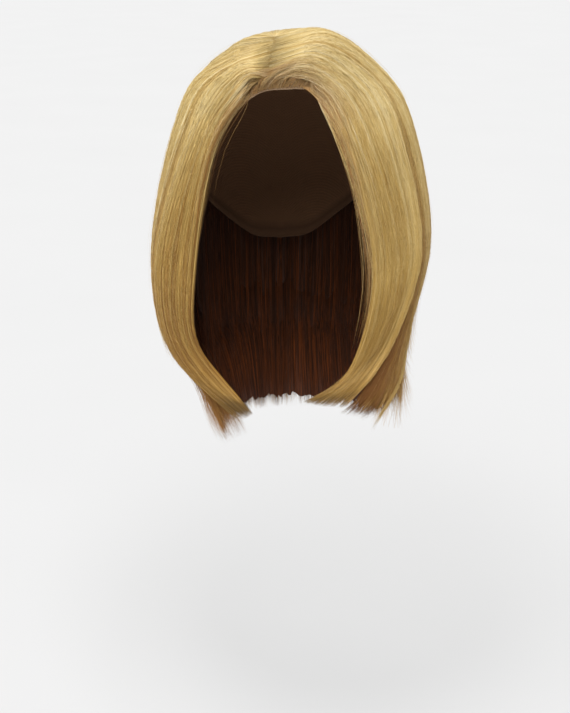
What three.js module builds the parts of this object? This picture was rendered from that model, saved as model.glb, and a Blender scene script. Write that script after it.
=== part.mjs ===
// Lace front wig: a chin-to-shoulder layered bob, parted left of centre, on a stretch cap with a lace hairline.
// Millimetres, +Z up, the face opening towards -Y, origin where the top of the head bears inside the cap.
// The hair is panels of locks fused side by side. Each panel follows guide hairs that leave the parting, pass over
// the crown and run down the outer form of the hair to a tip.
import * as THREE from "three";
import { mergeVertices } from "three/addons/utils/BufferGeometryUtils.js";

// Driving sizes
const head = new THREE.Vector3(76, 96, 100); // half axes of the head form that the cap is stretched on
const capWall = 1.2;
const laceWall = 1.0;
const napeWall = 6.5;
const seatGap = 1.0; // between the corners of the hair's facets and what it lies on
const laceDepth = 24; // front edge of the lace to its seam with the cap
const laceEndDepth = 9; // the same at its ends, in front of the ears
const laceEndTurn = 78; // degrees from the front
const laceTaperTurn = 40; // where the lace begins to narrow
const capPast = { from: 1, to: 8 }; // degrees beyond the lace's end in which the cap comes down to the edge
const seamGap = 0.6;
const fabricStep = 6; // degrees round the head between the points of cap and lace
const leastHair = 3; // hair on the cap and the lace at its thinnest
const lockRise = 2.6; // of a lock's crest above the form
const lockValley = 1.2; // of the valley between two locks below the form
const lockColumns = 4; // facets across a lock
const valleyEnd = 0.955; // share of the guides' run where two locks part; their tips run on
const lockStart = 0.25; // share of the guides' run by which the locks stand at full height
const taperStart = 0.6; // share of the guides' run where the hair begins to thin towards the tips
const tipThinning = 0.75; // share of the thickness that the tips lose
const panelGap = 0.006; // between neighbouring panels, in rows of their guides

const crown = new THREE.Vector3(0, 0, 0);
const headCentre = new THREE.Vector3(0, 0, -head.z);

// The cap's edge from the middle of the forehead round to the nape: degrees from the front, drop below the crown
const capEdge = [
  { turn: 0, drop: 23 },
  { turn: 28, drop: 26 },
  { turn: 42, drop: 37 },
  { turn: 50, drop: 50 },
  { turn: 68, drop: 95 },
  { turn: 80, drop: 132 },
  { turn: 92, drop: 130 },
  { turn: 108, drop: 113 },
  { turn: 130, drop: 138 },
  { turn: 155, drop: 163 },
  { turn: 180, drop: 168 },
];

// The outer form of the hair at heights above the origin: half width on each side, reach to the front and back
const form = [
  { z: -340, left: 48, right: 97, front: 77, back: 96 },
  { z: -300, left: 58, right: 95, front: 80, back: 100 },
  { z: -275, left: 67, right: 95, front: 82, back: 104 },
  { z: -250, left: 90, right: 96, front: 84, back: 107 },
  { z: -225, left: 103, right: 99, front: 86, back: 111 },
  { z: -200, left: 107, right: 105, front: 88, back: 114 },
  { z: -150, left: 108, right: 114, front: 91, back: 117 },
  { z: -100, left: 100, right: 109, front: 92, back: 114 },
  { z: -60, left: 88, right: 97, front: 88, back: 105 },
  { z: -25, left: 71, right: 79, front: 68, back: 89 },
  { z: 6, left: 36, right: 46, front: 42, back: 60 },
];

// The most that the hair is thick, from its outer form inwards
const thickness = [
  { z: -340, most: 3 },
  { z: -290, most: 6 },
  { z: -240, most: 10 },
  { z: -190, most: 14 },
  { z: -140, most: 19 },
  { z: -110, most: 34 },
  { z: -60, most: 60 },
];

// Clearance of the panels' inner side from the head: on the cap, and lower down outside the nape hair
const capSeat = capWall + seatGap;
const panelSeat = [
  { z: -100, clear: capSeat + napeWall + seatGap },
  { z: -76, clear: capSeat },
];

// The nape hair from its roots on the cap down to its ends: how thick it is, and how far it draws in to the neck
const nape = [
  { z: -262, wall: 2, draw: 0.93 },
  { z: -230, wall: 4.5, draw: 0.96 },
  { z: -190, wall: 6, draw: 0.99 },
  { z: -150, wall: napeWall, draw: 1 },
  { z: -125, wall: 6, draw: 1 },
  { z: -103, wall: 2.5, draw: 1 },
];
const napeTurn = 98; // degrees from the front to its first hairs on each side
const napeHang = -140; // height below which it leaves the head and hangs
const napeRagged = 9; // difference in length along its ends

// The parting from the hairline back to the crown, and the roots beside it and round its end
const parting = new THREE.QuadraticBezierCurve3(
  new THREE.Vector3(-21, -58, -18),
  new THREE.Vector3(-15, -30, -1),
  new THREE.Vector3(-9, 8, 6),
);
const partingSplit = 1.2;
const crownSpread = 5;
const crownStart = 0.8; // share of the parting where its roots begin to fan round the crown

// Heights at which the guides' turns are given
const levels = { shoulder: -25, brow: -55, cheek: -150, jaw: -213, chin: -243, neck: -266 };
const crestShare = 0.45; // of the way from the root to the shoulder
const frontFacets = [2, 3, 2, 4, 3, 2, 3]; // from root to crest, shoulder, brow, cheek, jaw, chin and tip
const longFacets = [2, 3, 2, 3, 3, 2, 2, 2]; // the same for panels that run on past the neck

// Guide hairs from the front of a panel to its back. Along is the root's place on the parting; shoulder to tip are
// degrees round from the front; end is the tip's height; lift is the rise of the hair over the crown.
// Locks are the places across the panel, in rows of its guides, where two of its locks meet.
// Edge is the share of the hair's thickness that the panel has at its front.
const left = -1;
const right = 1;
const panels = {
  hair_front_right: {
    side: right,
    edge: 0.22,
    overNape: false,
    locks: [0.34, 0.86, 1.18, 1.62],
    guides: [
      { along: 0.0, shoulder: 14, brow: 21, cheek: 31, jaw: 30, chin: 21, tip: 2.5, end: -257, lift: 5 },
      { along: 0.12, shoulder: 30, brow: 35, cheek: 45, jaw: 42, chin: 29, tip: 12, end: -262, lift: 14 },
      { along: 0.42, shoulder: 52, brow: 53, cheek: 58, jaw: 51, chin: 38, tip: 22, end: -265, lift: 18 },
    ],
  },
  hair_side_right: {
    side: right,
    edge: 0.6,
    overNape: true,
    locks: [0.42, 0.78, 1.26, 1.66],
    guides: [
      { along: 0.44, shoulder: 53, brow: 54, cheek: 59, jaw: 56, chin: 48, neck: 36, tip: 27, end: -276, lift: 18 },
      { along: 0.72, shoulder: 78, brow: 80, cheek: 84, jaw: 84, chin: 80, neck: 73, tip: 58, end: -299, lift: 21 },
      { along: 1, shoulder: 119, brow: 119, cheek: 119, jaw: 119, chin: 118, neck: 116, tip: 112, end: -330, lift: 18 },
    ],
  },
  hair_front_left: {
    side: left,
    edge: 0.22,
    overNape: false,
    locks: [0.38, 0.8, 1.24, 1.58],
    guides: [
      { along: 0.0, shoulder: 28, brow: 42, cheek: 45, jaw: 47, chin: 37, tip: 28, end: -270, lift: 2 },
      { along: 0.12, shoulder: 41, brow: 50, cheek: 60, jaw: 61, chin: 54, tip: 35, end: -276, lift: 6 },
      { along: 0.42, shoulder: 58, brow: 62, cheek: 75, jaw: 77, chin: 73, tip: 44, end: -282, lift: 7 },
    ],
  },
  hair_side_left: {
    side: left,
    edge: 0.6,
    overNape: true,
    locks: [0.36, 0.82, 1.2, 1.64],
    guides: [
      { along: 0.44, shoulder: 59, brow: 63, cheek: 76, jaw: 78, chin: 74, neck: 70, tip: 62, end: -307, lift: 6 },
      { along: 0.72, shoulder: 84, brow: 86, cheek: 94, jaw: 95, chin: 93, neck: 91, tip: 87, end: -318, lift: 5 },
      { along: 1, shoulder: 119, brow: 119, cheek: 119, jaw: 119, chin: 118, neck: 117, tip: 113, end: -330, lift: 9 },
    ],
  },
  hair_back: {
    side: right,
    edge: 1,
    overNape: true,
    locks: [0.28, 0.52, 0.88, 1.16, 1.44, 1.74],
    guides: [
      { along: 1, shoulder: 119, brow: 119, cheek: 119, jaw: 119, chin: 118, neck: 116, tip: 112, end: -330, lift: 18 },
      { along: 1, shoulder: 180, brow: 180, cheek: 180, jaw: 180, chin: 180, neck: 180, tip: 180, end: -338, lift: 14 },
      { along: 1, shoulder: 241, brow: 241, cheek: 241, jaw: 241, chin: 242, neck: 243, tip: 247, end: -330, lift: 9 },
    ],
  },
};

// Smooth value of a column between the rows of a table, whose keys run one way
function between(rows, key, column, at) {
  const ascending = rows[0][key] < rows[rows.length - 1][key] ? rows : [...rows].reverse();
  const last = ascending.length - 1;
  if (at <= ascending[0][key]) return ascending[0][column];
  if (at >= ascending[last][key]) return ascending[last][column];
  const above = ascending.findIndex((row) => row[key] >= at);
  const slope = (index) => {
    const before = ascending[Math.max(index - 1, 0)];
    const after = ascending[Math.min(index + 1, last)];
    return (after[column] - before[column]) / (after[key] - before[key]);
  };
  const low = ascending[above - 1];
  const high = ascending[above];
  const span = high[key] - low[key];
  const t = (at - low[key]) / span;
  const rise = 3 * t * t - 2 * t * t * t;
  const leave = t * (1 - t) * (1 - t);
  const arrive = t * t * (t - 1);
  return (
    THREE.MathUtils.lerp(low[column], high[column], rise)
    + span * (slope(above - 1) * leave + slope(above) * arrive)
  );
}

// A closed body from a grid of points on its outer side and the same grid on its inner side
function slab(outer, inner) {
  const columns = outer.length;
  const rows = outer[0].length;
  const points = [...outer.flat(), ...inner.flat()];
  const innerStart = columns * rows;
  const faces = [];
  const at = (column, row) => column * rows + row;
  const quad = (a, b, c, d) => faces.push(a, b, c, a, c, d);
  for (let c = 0; c + 1 < columns; c += 1) {
    for (let r = 0; r + 1 < rows; r += 1) {
      const [a, b, e, f] = [at(c, r), at(c, r + 1), at(c + 1, r + 1), at(c + 1, r)];
      quad(a, b, e, f);
      quad(innerStart + f, innerStart + e, innerStart + b, innerStart + a);
    }
  }
  const rim = [];
  for (let c = 0; c + 1 < columns; c += 1) rim.push(at(c, 0));
  for (let r = 0; r + 1 < rows; r += 1) rim.push(at(columns - 1, r));
  for (let c = columns - 1; c > 0; c -= 1) rim.push(at(c, rows - 1));
  for (let r = rows - 1; r > 0; r -= 1) rim.push(at(0, r));
  rim.forEach((from, index) => {
    const to = rim[(index + 1) % rim.length];
    quad(from, to, innerStart + to, innerStart + from);
  });
  return geometryOf(points, faces);
}

// The faces are turned over where they came out facing inwards
function geometryOf(points, faces) {
  let volume = 0;
  for (let i = 0; i < faces.length; i += 3) {
    const [a, b, c] = [points[faces[i]], points[faces[i + 1]], points[faces[i + 2]]];
    volume += a.dot(b.clone().cross(c));
  }
  const geometry = new THREE.BufferGeometry().setFromPoints(points);
  geometry.setIndex(volume < 0 ? [...faces].reverse() : faces);
  const merged = mergeVertices(geometry, 1e-3);
  merged.computeVertexNormals();
  return merged;
}

const radians = THREE.MathUtils.degToRad;

// Point over the head form at a turn from the front and an angle down from the crown
function headPoint(turn, down, clear) {
  const across = Math.sin(radians(down));
  return new THREE.Vector3(
    (head.x + clear) * across * Math.sin(radians(turn)),
    -(head.y + clear) * across * Math.cos(radians(turn)),
    (head.z + clear) * Math.cos(radians(down)) - head.z,
  );
}

// A point nearer to the head form than it may be is moved out to that clearance
function clearOfHead(point, clear) {
  const offset = point.clone().sub(headCentre);
  const axes = head.clone().addScalar(clear);
  const reach = offset.clone().divide(axes).length();
  return reach < 1 ? offset.divideScalar(reach).add(headCentre) : point;
}

// Angle down from the crown of the cap's edge, and of the seam of cap and lace behind it
function edgeAngle(turn) {
  const drop = between(capEdge, "turn", "drop", Math.abs(turn));
  return THREE.MathUtils.radToDeg(Math.acos(1 - drop / head.z));
}

function laceAngle(turn) {
  const share = THREE.MathUtils.smoothstep(Math.abs(turn), laceTaperTurn, laceEndTurn);
  const depth = THREE.MathUtils.lerp(laceDepth, laceEndDepth, share);
  return THREE.MathUtils.radToDeg(depth / head.z);
}

function capAngle(turn) {
  const past = THREE.MathUtils.smoothstep(Math.abs(turn), laceEndTurn + capPast.from, laceEndTurn + capPast.to);
  const seam = laceAngle(turn) + THREE.MathUtils.radToDeg(seamGap / head.z);
  return edgeAngle(turn) - seam * (1 - past);
}

// The cap: a closed shell from the crown down to its edge
function capShape() {
  const turns = 360 / fabricStep;
  const rings = 6;
  const points = [];
  const faces = [];
  const innerCrown = 0;
  const outerCrown = 1;
  points.push(crown.clone(), new THREE.Vector3(0, 0, capWall));
  for (let ring = 1; ring <= rings; ring += 1) {
    for (let step = 0; step < turns; step += 1) {
      const turn = step * fabricStep - 180;
      const down = (capAngle(turn) * ring) / rings;
      points.push(headPoint(turn, down, 0), headPoint(turn, down, capWall));
    }
  }
  const at = (ring, step, outside) => 2 + ((ring - 1) * turns + (step % turns)) * 2 + outside;
  for (let step = 0; step < turns; step += 1) {
    faces.push(outerCrown, at(1, step, 1), at(1, step + 1, 1));
    faces.push(innerCrown, at(1, step + 1, 0), at(1, step, 0));
    for (let ring = 1; ring < rings; ring += 1) {
      const [a, b] = [at(ring, step, 1), at(ring + 1, step, 1)];
      const [c, d] = [at(ring + 1, step + 1, 1), at(ring, step + 1, 1)];
      faces.push(a, b, c, a, c, d);
      faces.push(a - 1, c - 1, b - 1, a - 1, d - 1, c - 1);
    }
    const [a, b] = [at(rings, step, 1), at(rings, step + 1, 1)];
    faces.push(a, a - 1, b - 1, a, b - 1, b);
  }
  return geometryOf(points, faces);
}

// The lace: a strip on the head form from its front edge back to the seam
function laceShape() {
  const rows = 3;
  const outer = [];
  const inner = [];
  for (let turn = -laceEndTurn; turn <= laceEndTurn; turn += fabricStep) {
    const edge = edgeAngle(turn);
    const downs = Array.from({ length: rows + 1 }, (_, row) => edge - (laceAngle(turn) * row) / rows);
    outer.push(downs.map((down) => headPoint(turn, down, laceWall)));
    inner.push(downs.map((down) => headPoint(turn, down, 0)));
  }
  return slab(outer, inner);
}

function formPoint(z, turn) {
  const across = Math.sin(radians(turn));
  const ahead = Math.cos(radians(turn));
  const half = between(form, "z", across < 0 ? "left" : "right", z);
  const reach = between(form, "z", ahead < 0 ? "back" : "front", z);
  return new THREE.Vector3(half * across, -reach * ahead, z);
}

// The guide hair at a place across a panel, counted in rows of its guides
function guideHair(panel, place) {
  const rows = panel.guides.map((guide, index) => ({ index, ...guide }));
  const value = (column) => between(rows, "index", column, place);
  const turn = (column) => panel.side * value(column);
  const along = THREE.MathUtils.clamp(value("along"), 0, 1);
  const beside = new THREE.Vector3(panel.side, 0, 0);
  const facing = radians(turn("shoulder"));
  const around = new THREE.Vector3(Math.sin(facing), -Math.cos(facing), 0);
  const share = THREE.MathUtils.smoothstep(along, crownStart, 1);
  const spread = THREE.MathUtils.lerp(partingSplit, crownSpread, share);
  const root = parting.getPoint(along).addScaledVector(beside.lerp(around, share).normalize(), spread);
  const passed = Object.entries(levels).filter(([level]) => level in panel.guides[0]);
  const below = passed.map(([level, z]) => formPoint(z, turn(level)));
  const crest = root.clone().lerp(below[0], crestShare);
  crest.z += value("lift");
  const tip = formPoint(value("end"), turn("tip"));
  return new THREE.CatmullRomCurve3([root, crest, ...below, tip], false, "centripetal");
}

// Unit vector from a point of the hair in towards the head, or below it to the neck
function inwards(point) {
  const target = new THREE.Vector3(0, 0, Math.min(point.z, headCentre.z));
  return target.sub(point).normalize();
}

// How far across its lock a place is: 0 in the valley beside it, 1 on its crest
function lockCrest(panel, place) {
  const meets = [0, ...panel.locks, panel.guides.length - 1];
  const after = meets.findIndex((meet, index) => index > 0 && place <= meet + 1e-6);
  const across = (place - meets[after - 1]) / (meets[after] - meets[after - 1]);
  return Math.sin(Math.PI * THREE.MathUtils.clamp(across, 0, 1));
}

function seatClear(panel, z) {
  return panel.overNape ? between(panelSeat, "z", "clear", z) : capSeat;
}

function outerPoint(panel, place, run) {
  const point = guideHair(panel, place).getPoint(run);
  const height = THREE.MathUtils.lerp(-lockValley, lockRise, lockCrest(panel, place));
  point.addScaledVector(inwards(point), -height * THREE.MathUtils.smoothstep(run, 0, lockStart));
  return clearOfHead(point, seatClear(panel, point.z) + leastHair);
}

function innerPoint(panel, place, run, outer) {
  const across = place / (panel.guides.length - 1);
  const share = THREE.MathUtils.lerp(panel.edge, 1, THREE.MathUtils.smoothstep(across, 0, 1));
  const taper = 1 - tipThinning * THREE.MathUtils.smoothstep(run, taperStart, 1);
  const depth = Math.max(between(thickness, "z", "most", outer.z) * share * taper, leastHair * taper);
  const point = outer.clone().addScaledVector(inwards(outer), depth);
  return clearOfHead(point, seatClear(panel, outer.z));
}

// Places along the guides where a panel has points
function panelRuns(panel) {
  const facets = "neck" in panel.guides[0] ? longFacets : frontFacets;
  const runs = [0];
  facets.forEach((count, stretch) => {
    for (let k = 1; k <= count; k += 1) runs.push((stretch + k / count) / facets.length);
  });
  return runs;
}

// A panel of locks whose tips run on past the valleys between them
function panelShape(panel) {
  const span = panel.guides.length - 1;
  const meets = [panelGap, ...panel.locks, span - panelGap];
  const places = [meets[0]];
  meets.slice(1).forEach((meet, index) => {
    for (let k = 1; k <= lockColumns; k += 1) {
      places.push(THREE.MathUtils.lerp(meets[index], meet, k / lockColumns));
    }
  });
  const outer = [];
  const inner = [];
  places.forEach((place) => {
    const end = THREE.MathUtils.lerp(valleyEnd, 1, lockCrest(panel, place));
    const runs = panelRuns(panel).map((run) => run * end);
    const column = runs.map((run) => outerPoint(panel, place, run));
    outer.push(column);
    inner.push(column.map((point, row) => innerPoint(panel, place, runs[row], point)));
  });
  return slab(outer, inner);
}

// The nape hair: a curtain that lies on the cap's lower edge and then hangs
function napeShape() {
  const turns = 16;
  const rows = 9;
  const outer = [];
  const inner = [];
  const top = nape[nape.length - 1].z;
  for (let step = 0; step <= turns; step += 1) {
    const turn = THREE.MathUtils.lerp(napeTurn, 360 - napeTurn, step / turns);
    const bottom = nape[0].z + (step % 2) * napeRagged;
    const outerColumn = [];
    const innerColumn = [];
    for (let row = 0; row <= rows; row += 1) {
      const z = THREE.MathUtils.lerp(top, bottom, row / rows);
      const down = THREE.MathUtils.radToDeg(Math.acos((Math.max(z, napeHang) + head.z) / head.z));
      const draw = between(nape, "z", "draw", z);
      const wall = between(nape, "z", "wall", z);
      [[innerColumn, capSeat], [outerColumn, capSeat + wall]].forEach(([column, clear]) => {
        const point = headPoint(turn, down, clear);
        column.push(new THREE.Vector3(point.x * draw, point.y * draw, z));
      });
    }
    outer.push(outerColumn);
    inner.push(innerColumn);
  }
  return slab(outer, inner);
}

const colours = {
  cap: { color: 0x6b4a30, roughness: 0.9 },
  lace_front: { color: 0xc9a883, roughness: 0.85 },
  hair_front_left: { color: 0xc8ad78, roughness: 0.45 },
  hair_front_right: { color: 0xcbb07c, roughness: 0.45 },
  hair_side_left: { color: 0xb49763, roughness: 0.45 },
  hair_side_right: { color: 0xb99d68, roughness: 0.45 },
  hair_back: { color: 0xa98b58, roughness: 0.45 },
  hair_nape: { color: 0x4a2f1a, roughness: 0.55 },
};

const wig = new THREE.Group();
wig.name = "lace_front_wig";

function addPiece(name, geometry) {
  const material = new THREE.MeshStandardMaterial({ ...colours[name], metalness: 0 });
  const mesh = new THREE.Mesh(geometry, material);
  mesh.name = name;
  wig.add(mesh);
}

addPiece("cap", capShape());
addPiece("lace_front", laceShape());
Object.entries(panels).forEach(([name, panel]) => addPiece(name, panelShape(panel)));
addPiece("hair_nape", napeShape());

export default wig;
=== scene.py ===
import bpy
import math
import numpy as np
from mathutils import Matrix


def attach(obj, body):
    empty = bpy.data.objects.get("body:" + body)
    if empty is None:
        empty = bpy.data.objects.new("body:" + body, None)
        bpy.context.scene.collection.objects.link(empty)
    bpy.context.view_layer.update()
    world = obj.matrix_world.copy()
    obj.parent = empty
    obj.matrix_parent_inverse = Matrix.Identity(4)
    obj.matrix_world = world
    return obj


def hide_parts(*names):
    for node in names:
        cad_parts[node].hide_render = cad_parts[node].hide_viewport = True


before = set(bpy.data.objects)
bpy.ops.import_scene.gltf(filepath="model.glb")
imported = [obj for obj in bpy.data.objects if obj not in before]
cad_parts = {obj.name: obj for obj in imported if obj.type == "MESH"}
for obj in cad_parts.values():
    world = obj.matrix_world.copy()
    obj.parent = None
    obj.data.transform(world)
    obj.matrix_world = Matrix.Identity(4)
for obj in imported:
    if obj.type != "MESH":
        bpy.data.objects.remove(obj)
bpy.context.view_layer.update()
print("frame loaded:", ", ".join(sorted(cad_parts)))

mm = 0.001
rng = np.random.default_rng(21)

# camera, light and floor come first
view = {
    "azimuth": -5.0,     # degrees round from the front
    "pitch": 21.0,       # degrees down
    "away": 0.930,       # level distance from the origin
    "above": 0.106,      # height over the origin
    "aimLeft": 0.143,    # degrees, so the crown sits a little right of the middle
    "lens": 60.6,
    "sensor": 36.0,
}
light = {
    "floorDrop": 0.70,   # floor below the origin
    "floorSize": 60.0,
    "floorTone": 0.70,
    "sky": 0.30,
    "wall": 0.86,        # how bright the backdrop looks past the floor
    "keyStrength": 3.6,
    "keySpread": 50.0,   # degrees across, soft like a big overhead panel
    "keyTilt": 32.0,     # degrees forward from straight overhead
    "keyTurn": -18.0,
}


def makeCamera():
    data = bpy.data.cameras.new("viewCamera")
    data.lens = view["lens"]
    data.sensor_width = view["sensor"]
    camera = bpy.data.objects.new("viewCamera", data)
    bpy.context.scene.collection.objects.link(camera)
    turn = math.radians(view["azimuth"])
    camera.location = (view["away"] * math.sin(turn), -view["away"] * math.cos(turn), view["above"])
    heading = turn + math.radians(view["aimLeft"])
    camera.rotation_euler = (math.radians(90 - view["pitch"]), 0, heading)
    bpy.context.scene.camera = camera


def makeLight():
    scene = bpy.context.scene
    scene.view_settings.view_transform = "Standard"
    world = bpy.data.worlds.new("softSky")
    world.use_nodes = True
    nodes, links = world.node_tree.nodes, world.node_tree.links
    glow = nodes["Background"]
    wall = nodes.new("ShaderNodeBackground")
    for background, strength in ((glow, light["sky"]), (wall, light["wall"])):
        background.inputs["Color"].default_value = (1, 1, 1, 1)
        background.inputs["Strength"].default_value = strength
    ray = nodes.new("ShaderNodeLightPath")
    either = nodes.new("ShaderNodeMixShader")
    links.new(ray.outputs["Is Camera Ray"], either.inputs["Fac"])
    links.new(glow.outputs[0], either.inputs[1])
    links.new(wall.outputs[0], either.inputs[2])
    links.new(either.outputs[0], nodes["World Output"].inputs["Surface"])
    scene.world = world
    data = bpy.data.lights.new("overheadPanel", "SUN")
    data.energy = light["keyStrength"]
    data.angle = math.radians(light["keySpread"])
    key = bpy.data.objects.new("overheadPanel", data)
    key.rotation_euler = (math.radians(light["keyTilt"]), 0, math.radians(light["keyTurn"]))
    scene.collection.objects.link(key)


makeCamera()
makeLight()
print("camera and light set")


# shader maths: a wrapped socket takes part in Python expressions
class Value:
    def __init__(self, finish, socket):
        self.finish = finish
        self.socket = socket

    def maths(self, operation, first, second):
        return self.finish.node("ShaderNodeMath", {"operation": operation}, {0: first, 1: second})

    def __add__(self, other):
        return self.maths("ADD", self, other)

    def __radd__(self, other):
        return self.maths("ADD", other, self)

    def __sub__(self, other):
        return self.maths("SUBTRACT", self, other)

    def __rsub__(self, other):
        return self.maths("SUBTRACT", other, self)

    def __mul__(self, other):
        return self.maths("MULTIPLY", self, other)

    def __rmul__(self, other):
        return self.maths("MULTIPLY", other, self)


class Finish:
    def __init__(self, name):
        self.material = bpy.data.materials.new(name)
        self.material.use_nodes = True
        self.tree = self.material.node_tree
        self.tree.nodes.clear()

    def node(self, kind, settings, inputs, output=0):
        made = self.tree.nodes.new(kind)
        for name, setting in settings.items():
            if name == "stops":
                ramp = made.color_ramp
                while len(ramp.elements) < len(setting):
                    ramp.elements.new(0.5)
                for element, (place, colour) in zip(ramp.elements, setting):
                    element.position = place
                    element.color = (*colour, 1)
            else:
                setattr(made, name, setting)
        for name, given in inputs.items():
            if isinstance(given, Value):
                self.tree.links.new(given.socket, made.inputs[name])
            else:
                made.inputs[name].default_value = given
        return Value(self, made.outputs[output]) if len(made.outputs) else None

    def attribute(self, name):
        return self.node("ShaderNodeAttribute", {"attribute_name": name}, {}, "Fac")

    def ramp(self, value, stops):
        return self.node("ShaderNodeValToRGB", {"stops": stops}, {"Fac": value})

    def rise(self, value, start, end):
        return self.node("ShaderNodeMapRange", {"interpolation_type": "SMOOTHSTEP"},
                         {"Value": value, "From Min": start, "From Max": end})

    def blend(self, share, first, second, how="MIX"):
        return self.node("ShaderNodeMix", {"data_type": "RGBA", "blend_type": how},
                         {0: share, 6: first, 7: second}, 2)

    def surface(self, inputs):
        shader = self.node("ShaderNodeBsdfPrincipled", {}, inputs)
        self.node("ShaderNodeOutputMaterial", {}, {"Surface": shader})
        return self.material


def linear(red, green, blue):
    shares = (c / 255 for c in (red, green, blue))
    return tuple(((c + 0.055) / 1.055) ** 2.4 if c > 0.04 else c / 12.92 for c in shares)


def colour(red, green, blue):
    return (*linear(red, green, blue), 1)


# floor: a pale plane below the hair
def floorFinish():
    finish = Finish("paleFloor")
    place = finish.node("ShaderNodeTexCoord", {}, {}, "Object")
    grain = finish.node("ShaderNodeTexNoise", {}, {"Vector": place, "Scale": 3.0, "Detail": 2.0})
    tone = light["floorTone"]
    paint = finish.ramp(grain, [(0.0, (tone - 0.01,) * 3), (1.0, (tone + 0.01,) * 3)])
    return finish.surface({"Base Color": paint, "Roughness": 0.9, "Specular IOR Level": 0.0})


def makeFloor():
    bpy.ops.object.select_all(action="DESELECT")
    bpy.ops.mesh.primitive_plane_add(size=light["floorSize"], location=(0, 0, -light["floorDrop"]))
    floor = bpy.context.object
    floor.name = "paleFloor"
    bpy.ops.object.transform_apply(location=True)
    floor.data.materials.append(floorFinish())


makeFloor()
print("floor laid")


# smooth value of a table's column, the same as in the part's source
def between(table, key, column, at):
    keys = np.array(table[key], float)
    values = np.array(table[column], float)
    slopes = np.empty_like(values)
    slopes[1:-1] = (values[2:] - values[:-2]) / (keys[2:] - keys[:-2])
    slopes[0] = (values[1] - values[0]) / (keys[1] - keys[0])
    slopes[-1] = (values[-1] - values[-2]) / (keys[-1] - keys[-2])
    at = np.clip(np.asarray(at, float), keys[0], keys[-1])
    low = np.clip(np.searchsorted(keys, at) - 1, 0, len(keys) - 2)
    span = keys[low + 1] - keys[low]
    t = (at - keys[low]) / span
    rise = 3 * t ** 2 - 2 * t ** 3
    leave = t * (1 - t) ** 2
    arrive = t ** 2 * (t - 1)
    bow = span * (slopes[low] * leave + slopes[low + 1] * arrive)
    return values[low] * (1 - rise) + values[low + 1] * rise + bow


def ease(start, end, at):
    t = np.clip((np.asarray(at, float) - start) / (end - start), 0, 1)
    return t * t * (3 - 2 * t)


def mix(first, second, share):
    return first + (second - first) * share


def unit(vectors):
    return vectors / np.maximum(np.linalg.norm(vectors, axis=-1, keepdims=True), 1e-9)


# one seeded value for each strand, as a column beside its stations
def anyFrom(low, high, count):
    return rng.uniform(low, high, count)[:, None]


def around(middle, spread, count):
    return rng.normal(middle, spread, count)[:, None]


def evenSteps(count):
    return np.linspace(0, 1, count)[None]


# how a strand thins from a share of its length to its tip
def thinning(t, start, tip):
    return mix(1.0, tip, ease(start, 1.0, t))


# the head form that the cap is stretched on, in millimetres as all shapes below
head = {
    "axes": np.array([76.0, 96.0, 100.0]),
    "centre": np.array([0.0, 0.0, -100.0]),
    "capWall": 1.2,
    "capSeat": 2.2,      # of the hair's inner side over the head, on the cap
    "napeSeat": 9.7,     # and on the inner hair at the nape
    "seatTurns": (-100, -76),
}
capEdge = {
    "turn": [0, 28, 42, 50, 68, 80, 92, 108, 130, 155, 180],
    "drop": [23, 26, 37, 50, 95, 132, 130, 113, 138, 163, 168],
}
lace = {
    "depth": 24.0,
    "endDepth": 9.0,
    "endTurn": 78.0,
    "taperTurn": 40.0,
    "columns": 104,
    "rows": 10,
    "clear": 0.3,
    "thick": 0.35,
    "mesh": 1.1,         # across one cell of the net
    "thread": 0.26,
    "seamGap": 0.6,
    "net": (198, 165, 130),
    "knot": (146, 108, 66),
}


def headPoint(turn, down, clear):
    turn, down, clear = np.broadcast_arrays(np.radians(turn), np.radians(down), clear)
    axes = head["axes"]
    across = np.sin(down)
    return np.stack([(axes[0] + clear) * across * np.sin(turn),
                     -(axes[1] + clear) * across * np.cos(turn),
                     (axes[2] + clear) * np.cos(down) - axes[2]], axis=-1)


def clearOfHead(points, clear):
    offset = points - head["centre"]
    clear = np.broadcast_to(np.asarray(clear, float), points.shape[:-1])
    reach = np.linalg.norm(offset / (head["axes"] + clear[..., None]), axis=-1, keepdims=True)
    return np.where(reach < 1, head["centre"] + offset / np.maximum(reach, 1e-6), points)


def edgeAngle(turn):
    return np.degrees(np.arccos(1 - between(capEdge, "turn", "drop", np.abs(turn)) / head["axes"][2]))


def laceAngle(turn):
    depth = mix(lace["depth"], lace["endDepth"], ease(lace["taperTurn"], lace["endTurn"], np.abs(turn)))
    return np.degrees(depth / head["axes"][2])


def capAngle(turn):
    past = ease(lace["endTurn"] + 1, lace["endTurn"] + 8, np.abs(turn))
    seam = laceAngle(turn) + math.degrees(lace["seamGap"] / head["axes"][2])
    return edgeAngle(turn) - seam * (1 - past)


def outwards(points):
    middle = np.zeros_like(points)
    middle[..., 2] = np.minimum(points[..., 2], head["centre"][2])
    return unit(points - middle)


def raised(points, height):
    return points + outwards(points) * np.asarray(height)[..., None]


# the hair's outer form at heights above the origin
form = {
    "z": [-340, -300, -275, -250, -225, -200, -150, -100, -60, -25, 6],
    "left": [48, 58, 67, 90, 103, 107, 108, 100, 88, 71, 36],
    "right": [97, 95, 95, 96, 99, 105, 114, 109, 97, 79, 46],
    "front": [77, 80, 82, 84, 86, 88, 91, 92, 88, 68, 42],
    "back": [96, 100, 104, 107, 111, 114, 117, 114, 105, 89, 60],
}
thickness = {"z": [-340, -290, -240, -190, -140, -110, -60], "most": [3, 6, 10, 14, 19, 34, 60]}
parting = {
    "points": np.array([[-21.0, -58.0, -18.0], [-15.0, -30.0, -1.0], [-9.0, 8.0, 6.0]]),
    "split": 1.2,
    "crownSpread": 5.0,
    "crownStart": 0.8,
    "crestShare": 0.45,
}
levels = {"shoulder": -25, "brow": -55, "cheek": -150, "jaw": -213, "chin": -243, "neck": -266}


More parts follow.
